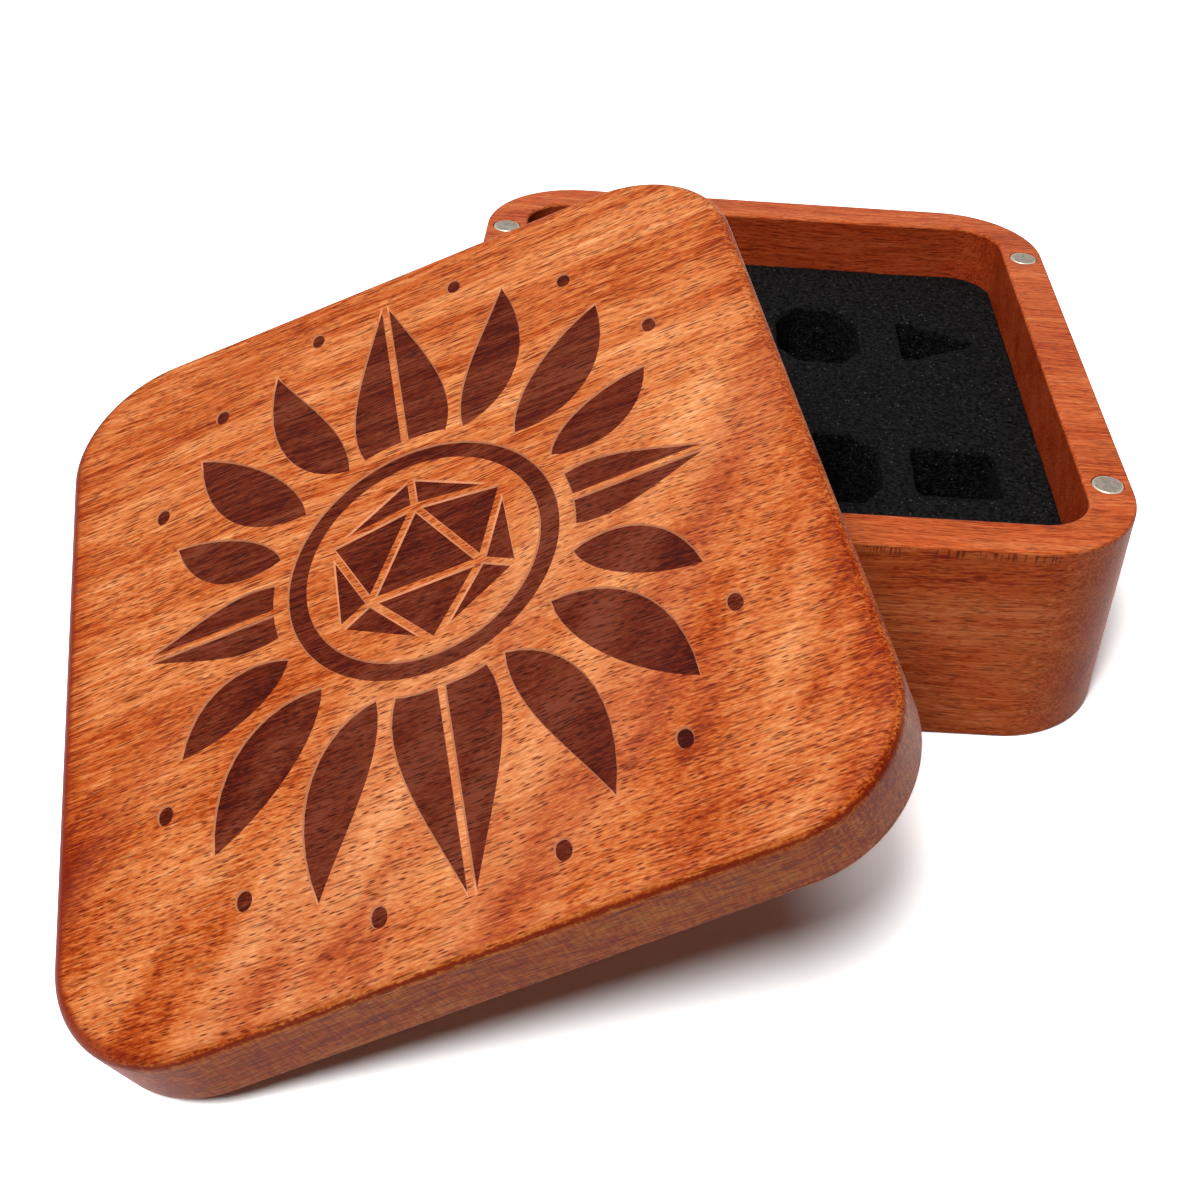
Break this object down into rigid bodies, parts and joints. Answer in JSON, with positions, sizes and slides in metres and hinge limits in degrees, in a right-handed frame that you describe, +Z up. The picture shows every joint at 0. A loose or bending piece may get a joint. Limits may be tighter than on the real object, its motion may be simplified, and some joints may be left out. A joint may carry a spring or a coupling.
{
  "type": "dice storage chest",
  "caption": "Rounded hardwood chest for a set of dice: routed box with a pocketed foam tray, and a loose lid held by disc magnets, shown leaning on the rim.",
  "frame": {"origin": "centre of the box's underside, on the surface it stands on", "axes": "+Z up, +X to the right along the box's shorter side, +Y to the back"},
  "size_m": [0.1921, 0.2314, 0.0836],
  "materials": {
    "box_wood": "reddish-orange hardwood, sanded and oiled to a satin",
    "lid_wood": "golden to red-orange hardwood with dark open pores, oiled to a satin, with a burnt engraving",
    "foam": "black open-cell foam",
    "magnet_plating": "nickel plating, slightly dull"
  },
  "bodies": {
    "box": {"box_body": "box_wood", "foam_base_sheet": "foam", "foam_tray": "foam", "box_magnet_front_left": "magnet_plating", "box_magnet_front_right": "magnet_plating", "box_magnet_back_left": "magnet_plating", "box_magnet_back_right": "magnet_plating"},
    "lid": {"lid": "lid_wood", "lid_magnet_front_left": "magnet_plating", "lid_magnet_front_right": "magnet_plating", "lid_magnet_back_left": "magnet_plating", "lid_magnet_back_right": "magnet_plating"}
  },
  "joints": [
    {"name": "lid_lift", "type": "slide", "parent": "box", "child": "lid", "axis": [0, 0, 1], "range_m": [0, 0.08]}
  ]
}
